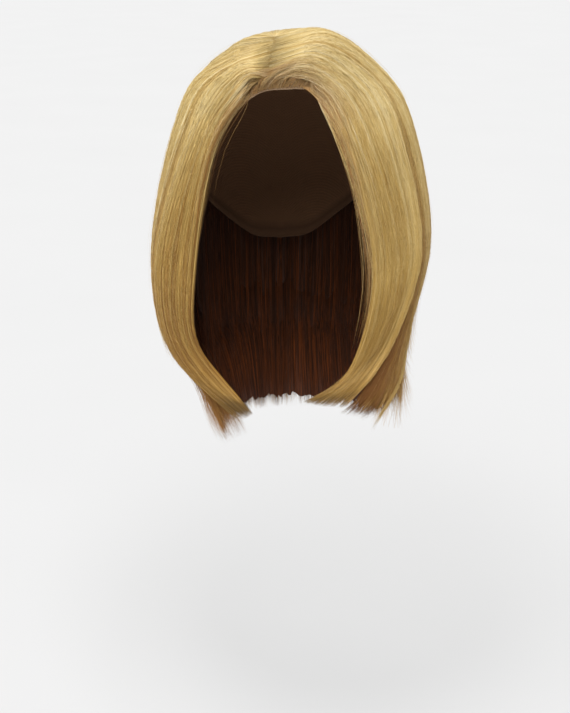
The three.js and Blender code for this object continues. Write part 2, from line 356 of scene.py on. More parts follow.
def formPoint(z, turn):
    across = math.sin(math.radians(turn))
    ahead = math.cos(math.radians(turn))
    half = float(between(form, "z", "left" if across < 0 else "right", z))
    reach = float(between(form, "z", "back" if ahead < 0 else "front", z))
    return np.array([half * across, -reach * ahead, z])


def partingPoint(along):
    a, b, c = parting["points"]
    return a * (1 - along) ** 2 + b * 2 * along * (1 - along) + c * along ** 2


# centripetal spline through points, sampled evenly from point to point
def smoothPath(points, count):
    points = np.asarray(points, float)
    points = np.vstack([2 * points[0] - points[1], points, 2 * points[-1] - points[-2]])
    step = np.maximum(np.sum(np.diff(points, axis=0) ** 2, axis=1) ** 0.25, 1e-4)[:, None]
    spots = np.linspace(0, len(points) - 3, count)
    seg = np.minimum(spots.astype(int), len(points) - 4)
    t = (spots - seg)[:, None]
    x0, x1, x2, x3 = points[seg], points[seg + 1], points[seg + 2], points[seg + 3]
    d0, d1, d2 = step[seg], step[seg + 1], step[seg + 2]
    leave = ((x1 - x0) / d0 - (x2 - x0) / (d0 + d1) + (x2 - x1) / d1) * d1
    arrive = ((x2 - x1) / d1 - (x3 - x1) / (d1 + d2) + (x3 - x2) / d2) * d1
    return (x1 + leave * t + (3 * (x2 - x1) - 2 * leave - arrive) * t ** 2
            + (2 * (x1 - x2) + leave + arrive) * t ** 3)


def guideHair(panel, place, count):
    value = {name: float(between(panel["guides"], "row", name, place)) for name in panel["guides"]}
    along = min(max(value["along"], 0), 1)
    facing = math.radians(panel["side"] * value["shoulder"])
    share = float(ease(parting["crownStart"], 1, along))
    beside = mix(np.array([panel["side"], 0, 0]), np.array([math.sin(facing), -math.cos(facing), 0]), share)
    root = partingPoint(along) + unit(beside) * mix(parting["split"], parting["crownSpread"], share)
    below = [formPoint(z, panel["side"] * value[level]) for level, z in levels.items() if level in value]
    crest = mix(root, below[0], parting["crestShare"]) + np.array([0, 0, value["lift"]])
    tip = formPoint(value["end"], panel["side"] * value["tip"])
    return smoothPath([root, crest, *below, tip], count)


# one panel's guides as a fine grid of places across and runs along
gridRuns = 141
gridPlaces = 97
gridPast = 24            # how many places a strand may lie past a panel's edge


def panelGrid(panel):
    return np.array([guideHair(panel, place, gridRuns) for place in np.linspace(0, 2, gridPlaces)])


def onGrid(grid, place, run):
    place, run = np.broadcast_arrays(place, run)
    across = place / 2 * (gridPlaces - 1)
    along = np.clip(run, 0, 1) * (gridRuns - 1)
    i = np.clip(across.astype(int), 0, gridPlaces - 2)
    j = np.clip(along.astype(int), 0, gridRuns - 2)
    u = np.clip(across - i, -gridPast, gridPast)[..., None]
    v = (along - j)[..., None]
    first = grid[i, j] * (1 - v) + grid[i, j + 1] * v
    second = grid[i + 1, j] * (1 - v) + grid[i + 1, j + 1] * v
    return first * (1 - u) + second * u


def lockCrest(panel, place):
    meets = np.array([0, *panel["locks"], 2.0])
    at = np.clip(place, 0, 1.9999)
    k = np.clip(np.searchsorted(meets, at, side="right") - 1, 0, len(meets) - 2)
    return np.sin(np.pi * np.clip((at - meets[k]) / (meets[k + 1] - meets[k]), 0, 1))


def seatClear(panel, z):
    if not panel["overNape"]:
        return np.full(np.shape(z), head["capSeat"])
    return mix(head["napeSeat"], head["capSeat"], ease(*head["seatTurns"], z))


def meshPiece(name, points, triangles, finish, nodes=()):
    mesh = bpy.data.meshes.new(name)
    mesh.vertices.add(len(points))
    mesh.vertices.foreach_set("co", (points * mm).astype(np.float32).ravel())
    mesh.loops.add(triangles.size)
    mesh.loops.foreach_set("vertex_index", triangles.astype(np.int32).ravel())
    mesh.polygons.add(len(triangles))
    mesh.polygons.foreach_set("loop_start", np.arange(0, triangles.size, 3, dtype=np.int32))
    mesh.polygons.foreach_set("use_smooth", np.ones(len(triangles), bool))
    mesh.update(calc_edges=True)
    piece = bpy.data.objects.new(name, mesh)
    bpy.context.scene.collection.objects.link(piece)
    mesh.materials.append(finish)
    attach(piece, "root")
    if nodes:
        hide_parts(*nodes)
    return piece


def addAttribute(piece, name, values):
    layer = piece.data.attributes.new(name, "FLOAT", "POINT")
    layer.data.foreach_set("value", np.asarray(values, np.float32).ravel())


def addMap(piece, name, uv, triangles):
    layer = piece.data.uv_layers.new(name=name)
    layer.data.foreach_set("uv", uv[triangles.ravel()].astype(np.float32).ravel())


# a strand is a thin three-sided tube that ends in a point
tube = {
    "flat": 0.55,                      # height of a strand as a share of its width
    "corners": [90, 210, 330],
    "mapAcross": [0.15, 0.5, 0.85],    # a strand's place in its cell of the map
    "mapAlong": (0.06, 0.9),
    "mapTip": (0.5, 0.94),
    "values": ("tone", "run", "depth"),
}


def tubeMesh(strands):
    paths, halfWide = strands["paths"], strands["wide"]
    count, stations = paths.shape[:2]
    along = unit(np.gradient(paths, axis=1))
    across = unit(np.cross(outwards(paths), along))
    up = np.cross(along, across)
    rings = stations - 1
    angles = np.radians(tube["corners"])
    half = halfWide[:, :rings, None, None]
    ring = (paths[:, :rings, None]
            + across[:, :rings, None] * (half * np.cos(angles)[:, None])
            + up[:, :rings, None] * (half * tube["flat"] * np.sin(angles)[:, None]))
    points = np.concatenate([ring.reshape(count, rings * 3, 3), paths[:, -1:]], axis=1)
    one = [(0, 2, 1)]
    for s in range(rings - 1):
        for k in range(3):
            a, b = 3 * s + k, 3 * s + (k + 1) % 3
            one += [(a, b, b + 3), (a, b + 3, a + 3)]
    for k in range(3):
        one.append((3 * (rings - 1) + k, 3 * (rings - 1) + (k + 1) % 3, 3 * rings))
    each = 3 * rings + 1
    triangles = (np.array(one)[None] + (np.arange(count) * each)[:, None, None]).reshape(-1, 3)
    cell = np.zeros((each, 2))
    cell[:-1, 0] = np.tile(tube["mapAcross"], rings)
    cell[:-1, 1] = np.repeat(np.linspace(*tube["mapAlong"], rings), 3)
    cell[-1] = tube["mapTip"]
    shape = {"points": points.reshape(-1, 3), "triangles": triangles, "cell": cell}
    for name in tube["values"]:
        values = np.broadcast_to(strands[name], (count, stations))
        ringed = np.repeat(values[:, :rings], 3, axis=1)
        shape[name] = np.concatenate([ringed, values[:, -1:]], axis=1).ravel()
    return shape


def strandPiece(name, strands, finish, nodes=()):
    shapes = [tubeMesh(group) for group in strands]
    starts = np.cumsum([0] + [len(shape["points"]) for shape in shapes])
    points = np.concatenate([shape["points"] for shape in shapes])
    triangles = np.concatenate([shape["triangles"] + start for shape, start in zip(shapes, starts)])
    piece = meshPiece(name, points, triangles, finish, nodes)
    for value in tube["values"]:
        addAttribute(piece, value, np.concatenate([shape[value] for shape in shapes]))
    # each strand has a cell of the map to itself
    total = sum(len(group["paths"]) for group in strands)
    side = math.ceil(math.sqrt(total))
    cells = np.stack([np.arange(total) % side, np.arange(total) // side], axis=-1)
    uv, done = [], 0
    for group, shape in zip(strands, shapes):
        count = len(group["paths"])
        uv.append(((cells[done:done + count, None] + shape["cell"]) / side).reshape(-1, 2))
        done += count
    addMap(piece, "OFBake", np.concatenate(uv), triangles)
    print(f"{name}: {total} strands, {len(triangles)} triangles")


# a closed body from a grid of outer points and the same grid of inner points
def slabMesh(outer, inner):
    columns, rows = outer.shape[:2]
    at = np.arange(columns * rows).reshape(columns, rows)
    a, b, c, d = at[:-1, :-1].ravel(), at[:-1, 1:].ravel(), at[1:, 1:].ravel(), at[1:, :-1].ravel()
    size = columns * rows
    faces = [np.stack([a, b, c], 1), np.stack([a, c, d], 1),
             np.stack([d, c, b], 1) + size, np.stack([d, b, a], 1) + size]
    rim = np.concatenate([at[:-1, 0], at[-1, :-1], at[:0:-1, -1], at[0, :0:-1]])
    follow = np.roll(rim, -1)
    faces += [np.stack([rim, follow, follow + size], 1), np.stack([rim, follow + size, rim + size], 1)]
    points = np.concatenate([outer.reshape(-1, 3), inner.reshape(-1, 3)])
    triangles = np.concatenate(faces)
    p, q, r = points[triangles[:, 0]], points[triangles[:, 1]], points[triangles[:, 2]]
    if np.sum(p * np.cross(q, r)) < 0:
        triangles = triangles[:, ::-1]
    return points, triangles


# a slab with the map and values that its streaked finish reads
def bodySlab(name, outer, inner, flow, liningShade, runs, node):
    points, triangles = slabMesh(outer, inner)
    piece = meshPiece(name, points, triangles, bodyFinish, [node])
    addMap(piece, "flow", np.concatenate([flow, flow + 400]), triangles)
    addAttribute(piece, "inner", liningShade)
    addAttribute(piece, "run", runs)


# hair finishes
blonde = {
    "deep": (146, 104, 44),
    "shade": (190, 154, 86),
    "middle": (220, 193, 126),
    "pale": (239, 221, 172),
    "bright": (248, 238, 210),
    "brownAndShade": (162, 106, 47),           # brown of the roots at the hairline, of brown strands and of the lower hair, and painted shade on hair lying below the surface
    "midFadeAndShade": (0.86, 0.76, 0.52),     # what is left of the colour below the cheek and at the tips, partly painted shade from the light above
    "tipFadeAndShade": (0.72, 0.55, 0.31),
    "fadeRuns": (0.36, 0.60, 0.96),
    "roughness": 0.38,
    "sheen": 0.14,
    "sheenTint": (255, 244, 220),
}
# painted shade: the blonde hair on the inner side, which lies in shadow, is coloured dark brown
brown = {
    "deep": (26, 13, 7),
    "middle": (66, 34, 15),
    "litWarm": (132, 66, 24),
    "roughness": 0.55,
    "specular": 0.2,
}


def hairStops(tones, names, places):
    return [(place, linear(*tones[name])) for name, place in zip(names, places)]


# the hair darkens from the cheek down, partly its own colour and partly painted shade from the light above
def fadeAndShadeDown(finish, paint, run, top):
    fades = ((top,) * 3, blonde["midFadeAndShade"], blonde["tipFadeAndShade"])
    return finish.blend(1.0, paint, finish.ramp(run, list(zip(blonde["fadeRuns"], fades))), "MULTIPLY")


def blondeStrands():
    finish = Finish("blondeHair")
    tone = finish.attribute("tone")
    run = finish.attribute("run")
    depth = finish.attribute("depth")
    names = ("deep", "shade", "middle", "pale", "bright")
    paint = finish.ramp(tone, hairStops(blonde, names, (0.0, 0.28, 0.52, 0.76, 1.0)))
    paint = fadeAndShadeDown(finish, paint, run, 1)
    # towards brown by the depth value: brown roots, strands and lower hair as colour, and painted shade on
    # strands lying low, on roots at the parting and in the valley beside a front panel
    paint = finish.blend(depth, paint, colour(*blonde["brownAndShade"]))
    gloss = finish.node("ShaderNodeMapRange", {}, {"Value": tone, "To Min": blonde["roughness"] + 0.08,
                                                   "To Max": blonde["roughness"] - 0.06})
    return finish.surface({"Base Color": paint, "Roughness": gloss + depth * 0.25, "IOR": 1.55,
                           "Sheen Weight": blonde["sheen"], "Sheen Roughness": 0.35,
                           "Sheen Tint": colour(*blonde["sheenTint"])})


def shadedBlondeBody():
    finish = Finish("shadedHairBody")
    flow = finish.node("ShaderNodeUVMap", {"uv_map": "flow"}, {})
    stretch = finish.node("ShaderNodeMapping", {}, {"Vector": flow, "Scale": (1.0, 0.02, 1.0)})
    streak = finish.node("ShaderNodeTexNoise", {}, {"Vector": stretch, "Scale": 1.1, "Detail": 4.0,
                                                    "Roughness": 0.65})
    inner = finish.attribute("inner")
    run = finish.attribute("run")
    # painted shade: the body under the strands takes only the darker tones of the hair
    paint = finish.ramp(streak, hairStops(blonde, ("deep", "shade", "middle"), (0.30, 0.55, 0.75)))
    paint = fadeAndShadeDown(finish, paint, run, 0.97)
    # painted light: the lining is warmer lower down, where light reaches it
    litWarmth = streak + finish.rise(run, 0.55, 1.0) * 0.18
    # painted shade: the inner side is coloured dark brown
    liningShade = finish.ramp(litWarmth, hairStops(brown, ("deep", "middle", "litWarm"), (0.30, 0.62, 0.95)))
    paint = finish.blend(inner, paint, liningShade)
    bump = finish.node("ShaderNodeBump", {}, {"Height": streak, "Strength": 0.6, "Distance": 0.0012})
    return finish.surface({"Base Color": paint, "Roughness": 0.55, "Specular IOR Level": 0.25,
                           "Normal": bump})


def shadedInnerStrands():
    finish = Finish("brownAndShadedHair")
    tone = finish.attribute("tone")
    run = finish.attribute("run")
    # painted light: warmer lower down, where the inner hair is lit
    paint = finish.ramp(tone + run * 0.3, hairStops(brown, ("deep", "middle", "litWarm"), (0.0, 0.55, 1.0)))
    return finish.surface({"Base Color": paint, "Roughness": brown["roughness"],
                           "Specular IOR Level": brown["specular"]})


hairFinish = blondeStrands()
bodyFinish = shadedBlondeBody()
innerShadeFinish = shadedInnerStrands()
print("hair finishes made")


# what all front panels and all side panels have in common
frontPanel = {
    "edge": 0.22,            # thickness at the front edge, as a share of the most
    "overNape": False,
    "joinsBack": 0,          # 1 where the panel turns into the back hair
    "ends": {"row": [0, 1, 2], "run": [1.012, 1.008, 1.002]},
    "clumps": 110,
    "halfWide": 0.16,        # of a strand
    "frontDrop": 0.0,        # of the front edge below the form
    "frizz": 0.14,
    "tips": 220,
    "innerTone": 0.3,
    "inner": 120,
    "innerTips": 60,
    "underlap": 0.02,        # how far strands pass the front edge
    "lowShade": 0.0,         # how brown the lower hair gets
    "stations": 15,
    "bodyEnd": 0.94,         # where the closed body ends, as a share of the hair's run
    "columns": 49,
}
sidePanel = {
    "edge": 0.6, "overNape": True, "joinsBack": 1,
    "halfWide": 0.17, "backLift": 0.0, "tipLightTone": 0, "overhang": 0.03, "lateStart": 0.0,
    "setBack": (0.0, 0.0), "inner": 200, "innerTips": 240, "stations": 15, "columns": 61,
}
# the panels of hair: guides as in the part's source, and how their strands are combed
panels = {
    "hairFrontRight": {
        **frontPanel, "node": "hair_front_right", "side": 1,
        "locks": [0.34, 0.86, 1.18, 1.62],
        "guides": {"row": [0, 1, 2], "along": [0.0, 0.12, 0.42], "shoulder": [14, 30, 52],
                   "brow": [21, 35, 53], "cheek": [31, 45, 58], "jaw": [30, 42, 51], "chin": [21, 29, 38],
                   "tip": [2.5, 12, 22], "end": [-257, -262, -265], "lift": [5, 14, 18]},
        "rowWidth": 27.0,        # across half of the panel
        "backLift": 2.6,         # of the back edge over the side hair
        "tone": 0.59,
        "toneFallAndShade": 0.06,        # how much darker from the cheek down, partly colour and partly painted shade
        # painted light: lighter at the tip, and paler or darker at the top, as the light falls
        "tipLightTone": 0.04,
        "topLightTone": -0.01,
        "bands": 0.05,
        "overhang": 0.0,         # how far strands pass the back edge
        "lateStart": 0.44,       # where the front edge's strands come out from below
        "setBack": (0.5, 1.0),   # of the body from the front edge, at the parting and at the temple
    },
    "hairSideRight": {
        **sidePanel, "node": "hair_side_right", "side": 1,
        "locks": [0.42, 0.78, 1.26, 1.66],
        "guides": {"row": [0, 1, 2], "along": [0.44, 0.72, 1.0], "shoulder": [53, 78, 119],
                   "brow": [54, 80, 119], "cheek": [59, 84, 119], "jaw": [56, 84, 119],
                   "chin": [48, 80, 118], "neck": [36, 73, 116], "tip": [27, 58, 112],
                   "end": [-276, -299, -330], "lift": [18, 21, 18]},
        "ends": {"row": [0, 0.5, 1, 1.5, 2], "run": [0.985, 0.955, 0.935, 0.955, 0.99]},
        "clumps": 190, "rowWidth": 55.0, "frontDrop": 1.8, "underlap": 0.2, "frizz": 1.2,
        "tone": 0.45, "toneFallAndShade": 0.20, "topLightTone": 0.05, "bands": 0.05, "lowShade": 0.14,
        "tips": 420, "innerTone": 0.5, "bodyEnd": 0.93,
    },
    "hairFrontLeft": {
        **frontPanel, "node": "hair_front_left", "side": -1,
        "locks": [0.38, 0.8, 1.24, 1.58],
        "guides": {"row": [0, 1, 2], "along": [0.0, 0.12, 0.42], "shoulder": [28, 41, 58],
                   "brow": [42, 50, 62], "cheek": [45, 60, 75], "jaw": [47, 61, 77], "chin": [37, 54, 73],
                   "tip": [28, 35, 44], "end": [-270, -276, -282], "lift": [2, 6, 7]},
        "rowWidth": 28.0, "backLift": 0.6, "overhang": 0.06, "lateStart": 0.34, "setBack": (0.65, 0.85),
        "tone": 0.58, "toneFallAndShade": 0.32, "tipLightTone": 0.26, "topLightTone": -0.08, "bands": 0.06,
    },
    "hairSideLeft": {
        **sidePanel, "node": "hair_side_left", "side": -1,
        "locks": [0.36, 0.82, 1.2, 1.64],
        "guides": {"row": [0, 1, 2], "along": [0.44, 0.72, 1.0], "shoulder": [59, 84, 119],
                   "brow": [63, 86, 119], "cheek": [76, 94, 119], "jaw": [78, 95, 119],
                   "chin": [74, 93, 118], "neck": [70, 91, 117], "tip": [62, 87, 113],
                   "end": [-307, -318, -330], "lift": [6, 5, 9]},
        "ends": {"row": [0, 0.3, 0.7, 1, 2], "run": [0.972, 0.98, 0.99, 1.0, 1.0]},
        "clumps": 155, "rowWidth": 42.0, "frontDrop": 0.8, "underlap": 0.06, "frizz": 0.4,
        "tone": 0.55, "toneFallAndShade": 0.28, "topLightTone": -0.05, "bands": 0.06, "lowShade": 0.55,
        "tips": 340, "innerTone": 0.34, "bodyEnd": 0.91,
    },
    "hairBack": {
        **sidePanel, "node": "hair_back", "side": 1, "edge": 1.0, "joinsBack": 0,
        "locks": [0.28, 0.52, 0.88, 1.16, 1.44, 1.74],
        "guides": {"row": [0, 1, 2], "along": [1.0, 1.0, 1.0], "shoulder": [119, 180, 241],
                   "brow": [119, 180, 241], "cheek": [119, 180, 241], "jaw": [119, 180, 241],
                   "chin": [118, 180, 242], "neck": [116, 180, 243], "tip": [112, 180, 247],
                   "end": [-330, -338, -330], "lift": [18, 14, 9]},
        "ends": {"row": [0, 1, 2], "run": [1.0, 1.0, 1.0]},
        "clumps": 255, "halfWide": 0.20, "rowWidth": 112.0, "frontDrop": 0.0, "overhang": 0.02,
        "underlap": 0.02, "frizz": 0.35, "stations": 13,
        "tone": 0.56, "toneFallAndShade": 0.16, "topLightTone": 0.02, "bands": 0.05, "lowShade": 0.1,
        "tips": 1850, "innerTone": 0.32, "inner": 420, "innerTips": 700, "bodyEnd": 0.985, "columns": 121,
    },
}
combing = {
    "perClump": 8,
    "bendShare": 1.6,       # how far bends draw the stations together
    "slide": 0.55,          # of a strand's stations along it, so that no line of bends shows across a panel
    "clumpWide": 1.3,       # spread of a clump's strands at its roots
    "strandHigh": 0.16,     # spread of the strands above and below the form
    "streakHigh": 0.20,     # height of the fine streaks across a panel
    "streakTone": 0.085,
    "streakWide": (0.7, 2.6),
    "drawIn": 0.85,         # share of its width that a clump keeps at the tips
    "wave": 0.3,            # sideways wander of a clump
    "lockRise": 0.6,
    "lockCut": 0.012,       # how much earlier the hair ends between two locks
    "bodyCut": 0.6,         # share of that cut which the body makes up for
    "ragged": 0.014,        # spread in length, as a share of the run
    "shortShare": 0.25,     # clumps that end early, and by how much
    "shorter": (0.02, 0.10),
    "layerShare": 0.2,      # clumps that come out from below the surface part of the way down
    "layerStart": (0.12, 0.45),
    "layerSunk": 2.6,       # how deep they start, and how deep the front edge's strands do
    "lateSunk": 6.5,
    "lateLeast": 0.05,
    "bodyDrop": 1.1,        # of the closed body below the combed form
    "turnDrop": 1.5,        # and how much more where the hair turns in
    "bodyRows": 37,
    "overCap": 2.2,         # least height of the strands over what the hair lies on
    "strandTone": 0.06,
    "valleyDrop": 1.8,      # front drop at which the painted shade of the valley beside a front panel is darkest
    "valleyShadeTone": 0.32,
    "valleyShade": 0.55,
    "rootDip": 0.4,         # of the roots below the form along the parting
    # painted shade on the roots along the parting
    "rootShade": 0.06,
    "crossMost": 5.5,       # farthest that a root lies past the parting
    "tipStations": 6,
    "innerStations": 11,
    "innerWide": 0.22,      # half width of the inner strands, and of their tips
    "innerTipWide": 0.3,
    "innerTipTone": 0.36,
    "innerSpread": 0.17,    # of the inner strands' tones
}


def strandSet(paths, wide, tone, run, depth=0.0):
    return {"paths": paths, "wide": wide, "tone": np.clip(tone, 0, 1), "run": run, "depth": depth + 0 * run}


# stations along a strand, closer together where the panel's hair bends
def alongStrand(path, stations):
    steps = np.diff(path, axis=0)
    ahead = unit(steps)
    bend = np.arccos(np.clip(np.sum(ahead[1:] * ahead[:-1], axis=-1), -1, 1))
    length = np.linalg.norm(steps, axis=-1)
    effort = length / length.sum() + combing["bendShare"] * np.append(bend, 0) / bend.sum()
    reached = np.append(0, np.cumsum(effort)) / effort.sum()
    return np.interp(np.linspace(0, 1, stations), reached, np.linspace(0, 1, len(path)))[None]


# a side panel's look turns into the back hair's towards the back
def lookAt(panel, name, place):
    return mix(panel[name], panels["hairBack"][name], panel["joinsBack"] * ease(0.9, 1.95, place))


# a panel's tone along its run, with painted light paler or darker at the top and lighter at the tip, and
# darker from the cheek down partly as painted shade
def toneAndLightAlong(panel, run, place):
    tone = lookAt(panel, "tone", place) + lookAt(panel, "topLightTone", place) * (1 - ease(0.15, 0.42, run))
    tone = tone - lookAt(panel, "toneFallAndShade", place) * ease(0.3, 0.75, run)
    return tone + panel["tipLightTone"] * ease(0.78, 0.95, run)


# leaves out strands with a kink sharper than the given cosine
def smoothOnes(strands, least):
    steps = unit(np.diff(strands["paths"], axis=1))
    keep = np.min(np.sum(steps[:, 1:] * steps[:, :-1], axis=-1), axis=1) > least
    return {name: np.broadcast_to(values, (len(keep), *values.shape[1:]))[keep]
            for name, values in strands.items()}


def lockHeight(panel, place, run):
    rise = combing["lockRise"] * lockCrest(panel, place)
    rise = rise + panel["backLift"] * ease(1.45, 1.95, place)
    rise = rise - panel["frontDrop"] * (1 - ease(0.0, 0.3, place))
    return rise * ease(0, 0.25, run)


def hairEnd(panel, place):
    return between(panel["ends"], "row", "run", place) - combing["lockCut"] * (1 - lockCrest(panel, place))


# moves roots from beside the parting on to it or across it, and down into it
def towardsParting(panel, grid, place, run, share, dip):
    along = np.clip(between(panel["guides"], "row", "along", np.clip(place[:, :1], 0, 2)), 0, 1)[..., None]
    root = onGrid(grid, place[:, :1], np.zeros_like(place[:, :1]))
    near = (1 - ease(0.0, 0.11, run))[..., None]
    move = (partingPoint(along) - root) * share
    move = move * np.minimum(1, combing["crossMost"] / np.linalg.norm(move, axis=-1, keepdims=True))
    return move * near - np.array([0, 0, 1.0]) * dip * near


def innerSide(panel, outer, place, run):
    share = mix(panel["edge"], 1.0, ease(0, 1, place / 2))
    taper = 1 - 0.85 * ease(0.55, 0.97, run)
    deep = between(thickness, "z", "most", outer[..., 2]) * share * taper
    deep = np.maximum(deep, 3 * taper) - combing["bodyDrop"]
    return clearOfHead(raised(outer, -np.maximum(deep, 0.5)), seatClear(panel, outer[..., 2]))


def bodySide(panel, grid, place, run):
    outer = onGrid(grid, place, run)
    away = ease(0.0, 0.12, run)
    # the body keeps lower where the hair turns in, because a strand's straight stretches cut that corner
    turning = ease(0.5, 0.66, run) * (1 - ease(0.9, 0.98, run))
    drop = combing["bodyDrop"] * mix(0.3, 1, away) + combing["turnDrop"] * turning
    outer = raised(outer, lockHeight(panel, place, run) - drop)
    outer = outer + towardsParting(panel, grid, place, run, 1.4, 0.0)
    return clearOfHead(outer, seatClear(panel, outer[..., 2]) + mix(1.8, 0.9, away))


def bodyPiece(name, panel, grid):
    columns = panel["columns"]
    places = np.linspace(0.006, 1.994, columns)[:, None]
    # its edge follows the locks less than their strands do
    ends = hairEnd(panel, places) + combing["bodyCut"] * combing["lockCut"] * (1 - lockCrest(panel, places))
    ends = ends * lookAt(panel, "bodyEnd", places) - anyFrom(0, 0.006, columns)
    runs = evenSteps(combing["bodyRows"]) * ends
    # the front panels' bodies stay back from the hairline, which is strands alone
    back = mix(*panel["setBack"], ease(0.06, 0.2, runs)) * (1 - ease(0.26, 0.5, runs))
    places = back + places * (2 - back) / 2
    outer = bodySide(panel, grid, places, runs)
    inner = innerSide(panel, outer, places, runs)
    flow = np.stack([places * panel["rowWidth"], runs * 300], axis=-1).reshape(-1, 2)
    # the inner side carries the painted shade of dark brown
    liningShade = np.repeat([0.0, 1.0], places.size)
    bodySlab(name + "Body", outer, inner, flow, liningShade, np.tile(runs.ravel(), 2), panel["node"])


# streaks across a panel, fine ones and broad ones, that keep to the hair all the way down
def makeStreaks(panel):
    width = 2 * panel["rowWidth"]
    panel["streaks"] = []
    for wide in combing["streakWide"]:
        knots = np.arange(-0.5 * panel["rowWidth"], width + 0.5 * panel["rowWidth"], wide)
        panel["streaks"].append((knots, rng.normal(0, 1, len(knots)), rng.normal(0, 1, len(knots))))
    panel["phases"] = rng.uniform(0, 2 * np.pi, 4)


def streakTone(panel, place):
    at = place * panel["rowWidth"]
    shift = 0 * place
    for turns, phase in zip((1.5, 3.5, 6.0, 10.0), panel["phases"]):
        shift = shift + np.sin(np.pi * turns * place + phase) * panel["bands"] / 1.6
    for (knots, tones, _), share in zip(panel["streaks"], (1.0, 0.4)):
        shift = shift + np.interp(at, knots, tones) * combing["streakTone"] * share
    return shift


def streakHeight(panel, place):
    at = place * panel["rowWidth"]
    rise = 0 * place
    for (knots, _, heights), share in zip(panel["streaks"], (0.6, 1.0)):
        rise = rise + np.interp(at, knots, heights) * combing["streakHigh"] * share
    return rise


def combedStrands(panel, grid):
    clumps, row = panel["clumps"], panel["rowWidth"]
    # clumps are spread evenly across and shuffled a little
    centre = (np.arange(clumps) + rng.uniform(0, 1, clumps)) / clumps
    centre = centre * (2 + panel["overhang"] + panel["underlap"]) - panel["underlap"]
    late = panel["lateStart"] * (1 - ease(0.1, 0.8, centre))
    isLate = late > combing["lateLeast"]
    layered = (rng.uniform(0, 1, clumps) < combing["layerShare"]) | isLate
    start = np.where(isLate, late * rng.uniform(0.75, 1.1, clumps), 0.0)
    start = start + np.where(layered & ~isLate, rng.uniform(*combing["layerStart"], clumps),
                             rng.uniform(0, 0.01, clumps))
    sunk = np.where(isLate, combing["lateSunk"], combing["layerSunk"]) * layered
    end = hairEnd(panel, centre) + rng.normal(0, combing["ragged"], clumps)
    shorter = rng.uniform(0, 1, clumps) < combing["shortShare"]
    end = np.minimum(np.where(shorter, end - rng.uniform(*combing["shorter"], clumps), end), 1.0)
    waveTurns = rng.uniform(0.5, 1.3, clumps)
    wavePhase = rng.uniform(0, 2 * np.pi, clumps)
    waveSize = rng.normal(0, combing["wave"], clumps) / row
    # from the clumps to their strands
    own = np.repeat(np.arange(clumps), combing["perClump"])
    count = len(own)
    waveTurns, wavePhase, waveSize = (values[own][:, None] for values in (waveTurns, wavePhase, waveSize))
    t = alongStrand(grid[gridPlaces // 2], panel["stations"])
    slide = np.gradient(t[0]) * np.sin(np.pi * np.linspace(0, 1, panel["stations"]))
    t = t + anyFrom(-combing["slide"], combing["slide"], count) * slide
    first = (start[own] + rng.uniform(0, 0.012, count))[:, None]
    last = np.minimum(end[own] + rng.normal(0, 0.010, count), 1.0)[:, None]
    run = mix(first, last, t)
    aside = around(0, combing["clumpWide"], count) / row
    gather = mix(1.0, combing["drawIn"], ease(0.25, 0.95, run))
    wave = waveSize * np.sin(2 * np.pi * waveTurns * run + wavePhase) * ease(0.05, 0.5, run)
    place = centre[own][:, None] + aside * gather + wave
    frizzPhase = rng.uniform(0, 2 * np.pi, (count, 2))
    frizzTurns = rng.uniform(1.5, 3.6, (count, 2))
    frizz = panel["frizz"] * anyFrom(0.4, 1.5, count) * ease(0.3, 1.0, run)
    place = place + frizz / row * np.sin(2 * np.pi * frizzTurns[:, :1] * run + frizzPhase[:, :1])
    lift = (streakHeight(panel, place) + around(0, combing["strandHigh"], count)) * ease(0, 0.2, run)
    lift = lift - sunk[own][:, None] * (1 - ease(0, 0.3, t))
    lift = lift + frizz * np.sin(2 * np.pi * frizzTurns[:, 1:] * run + frizzPhase[:, 1:])
    paths = onGrid(grid, place, run)
    paths = raised(paths, lockHeight(panel, np.clip(place, 0, 2), run) + lift)
    cross = np.minimum(0.5 + rng.exponential(1.2, count), 4.0)[:, None, None]
    dip = combing["rootDip"] * (rng.uniform(-1.5, 0.5, count)[:, None, None] + 0.7 * cross)
    paths = paths + towardsParting(panel, grid, place, run, cross, dip)
    clear = seatClear(panel, paths[..., 2]) + combing["overCap"] + anyFrom(0, 0.6, count)
    paths = clearOfHead(paths, clear)
    tone = streakTone(panel, place) + around(0, combing["strandTone"], count)
    # painted shade: the side hair is dark where it comes out from below a front panel
    valley = panel["frontDrop"] / combing["valleyDrop"] * (1 - ease(0.0, 0.26, place)) * ease(0.2, 0.45, run)
    tone = tone + toneAndLightAlong(panel, run, place) - combing["valleyShadeTone"] * valley
    wide = panel["halfWide"] * anyFrom(0.75, 1.2, count)
    wide = wide * mix(np.where(layered, 0.15, 0.7)[own][:, None], 1.0, ease(0, 0.12, t))
    wide = wide * thinning(t, 0.85, 0.35)
    # painted shade: strands lying lower than the others, and the roots along the parting, turn towards brown
    depth = np.clip(-lift * 0.12 - 0.06, 0, 0.4)
    shade = combing["rootShade"] * anyFrom(0.2, 1.0, count) * (1 - ease(0.0, 0.07, run))
    shade = shade + combing["valleyShade"] * valley
    shade = shade + lookAt(panel, "lowShade", place) * anyFrom(0.3, 1.3, count) * ease(0.35, 0.75, run)
    return strandSet(paths, wide, tone, run, np.clip(depth + shade, 0, 0.85))


